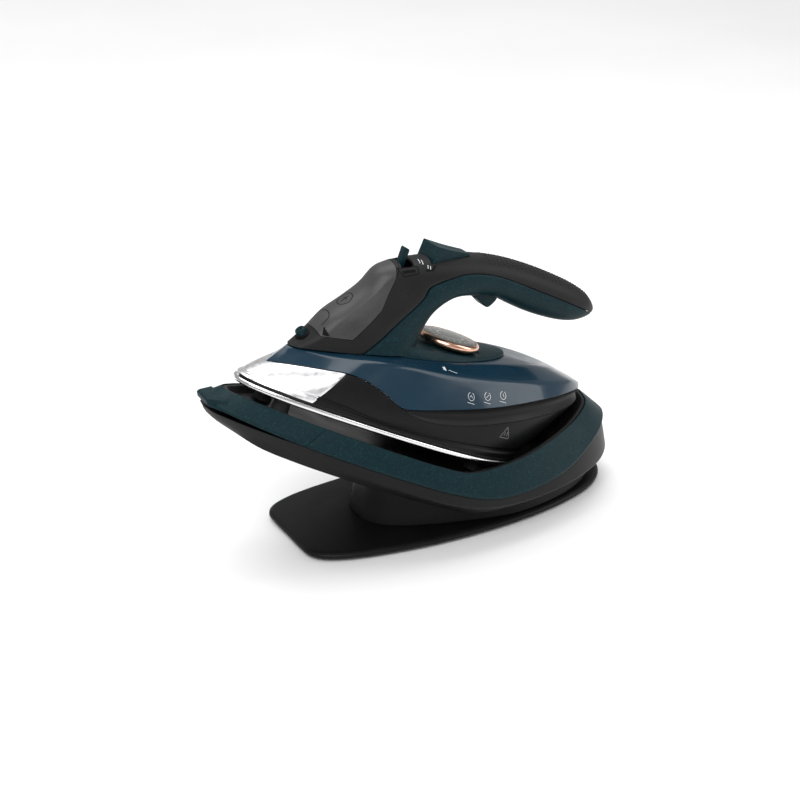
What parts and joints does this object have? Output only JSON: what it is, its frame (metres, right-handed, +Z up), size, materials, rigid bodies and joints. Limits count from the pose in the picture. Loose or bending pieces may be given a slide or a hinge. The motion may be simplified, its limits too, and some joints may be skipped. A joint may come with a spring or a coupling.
{
  "type": "cordless steam iron on charging base",
  "caption": "Cordless steam iron with an open-ended handle, water tank and dial, resting nose-up in the cradle of an inclined charging base.",
  "frame": {"origin": "middle of the whole object, on the surface its feet stand on", "axes": "+Z up, nose of the iron towards -X, mid-plane at Y = 0"},
  "size_m": [0.3318, 0.154, 0.2085],
  "materials": {
    "teal_plastic": "satin, fine metallic speckle",
    "black_plastic": "satin",
    "grey_plastic": "soft matte",
    "door_plastic": "satin",
    "tank_plastic": "gloss, smoky blue",
    "steel": "polished",
    "chrome": "mirror",
    "copper": "satin rose copper",
    "dial_face": "satin",
    "brass": "polished",
    "cast_alloy": "as cast",
    "rubber": "matte",
    "clear_plastic": "natural"
  },
  "bodies": {
    "base": {"foot_plate": "black_plastic", "foot_1": "rubber", "foot_2": "rubber", "foot_3": "rubber", "foot_4": "rubber", "pedestal": "black_plastic", "cord_gland": "rubber", "terminal_block": "clear_plastic", "cradle_shell": "black_plastic", "cradle_tray": "black_plastic", "cradle_rim": "teal_plastic", "lever_pin_1": "steel", "lever_pin_2": "steel", "rest_pad_1": "rubber", "rest_pad_2": "rubber", "rest_pad_3": "rubber", "rest_pad_4": "rubber", "power_connector": "black_plastic", "power_pin_1": "brass", "power_pin_2": "brass", "power_pin_3": "brass"},
    "lock_lever": {"lock_lever": "teal_plastic"},
    "iron": {"soleplate": "steel", "sole_gasket": "rubber", "heat_block": "cast_alloy", "heating_element": "steel", "chamber_cover": "steel", "thermostat": "clear_plastic", "heat_shield": "steel", "nose_cover": "chrome", "skirt": "black_plastic", "heel_socket": "black_plastic", "heel_contact_1": "brass", "heel_contact_2": "brass", "heel_contact_3": "brass", "tank_band": "black_plastic", "water_tank": "tank_plastic", "tank_floor": "tank_plastic", "handle_shell": "grey_plastic", "handle_underside": "teal_plastic", "spray_nozzle": "teal_plastic", "spray_pump": "clear_plastic", "spray_pipe": "rubber", "trigger_pin": "steel", "trigger_spring": "steel", "fill_port": "grey_plastic"},
    "dial": {"dial_knob": "dial_face", "dial_ring": "copper", "dial_shaft": "steel"},
    "fill_door": {"fill_door": "door_plastic"},
    "steam_lever": {"steam_lever": "teal_plastic", "valve_rod": "steel"},
    "thumb_button": {"thumb_button": "teal_plastic", "pump_plunger": "clear_plastic"},
    "trigger": {"trigger": "teal_plastic"}
  },
  "joints": [
    {"name": "iron_lift", "type": "slide", "parent": "base", "child": "iron", "axis": [0.4226, 0, 0.9063], "range_m": [0, 0.12]},
    {"name": "lock_lever_press", "type": "hinge", "parent": "base", "child": "lock_lever", "pos_m": [-0.11077, 0, 0.09913], "axis": [0, -1, 0], "range_deg": [0, 1.6], "stiffness_Nm_per_rad": 0.6, "springref_deg": -6.88},
    {"name": "dial_turn", "type": "hinge", "parent": "iron", "child": "dial", "pos_m": [0.02806, 0, 0.13182], "axis": [0.342, 0, 0.9397], "range_deg": [0, 270]},
    {"name": "fill_door_hinge", "type": "hinge", "parent": "iron", "child": "fill_door", "pos_m": [-0.08207, 0, 0.16232], "axis": [0, -1, 0], "range_deg": [0, 70]},
    {"name": "steam_lever_turn", "type": "hinge", "parent": "iron", "child": "steam_lever", "pos_m": [-0.00398, 0, 0.18615], "axis": [0.4226, 0, 0.9063], "range_deg": [-20, 20]},
    {"name": "thumb_button_press", "type": "slide", "parent": "iron", "child": "thumb_button", "axis": [-0.4226, 0, -0.9063], "range_m": [0, 0.0025], "stiffness_N_per_m": 900, "springref_m": -0.002},
    {"name": "trigger_pull", "type": "hinge", "parent": "iron", "child": "trigger", "pos_m": [0.04725, 0, 0.16943], "axis": [0, -1, 0], "range_deg": [0, 7], "stiffness_Nm_per_rad": 0.15, "springref_deg": -11.46, "deforming": ["trigger_spring"]}
  ]
}
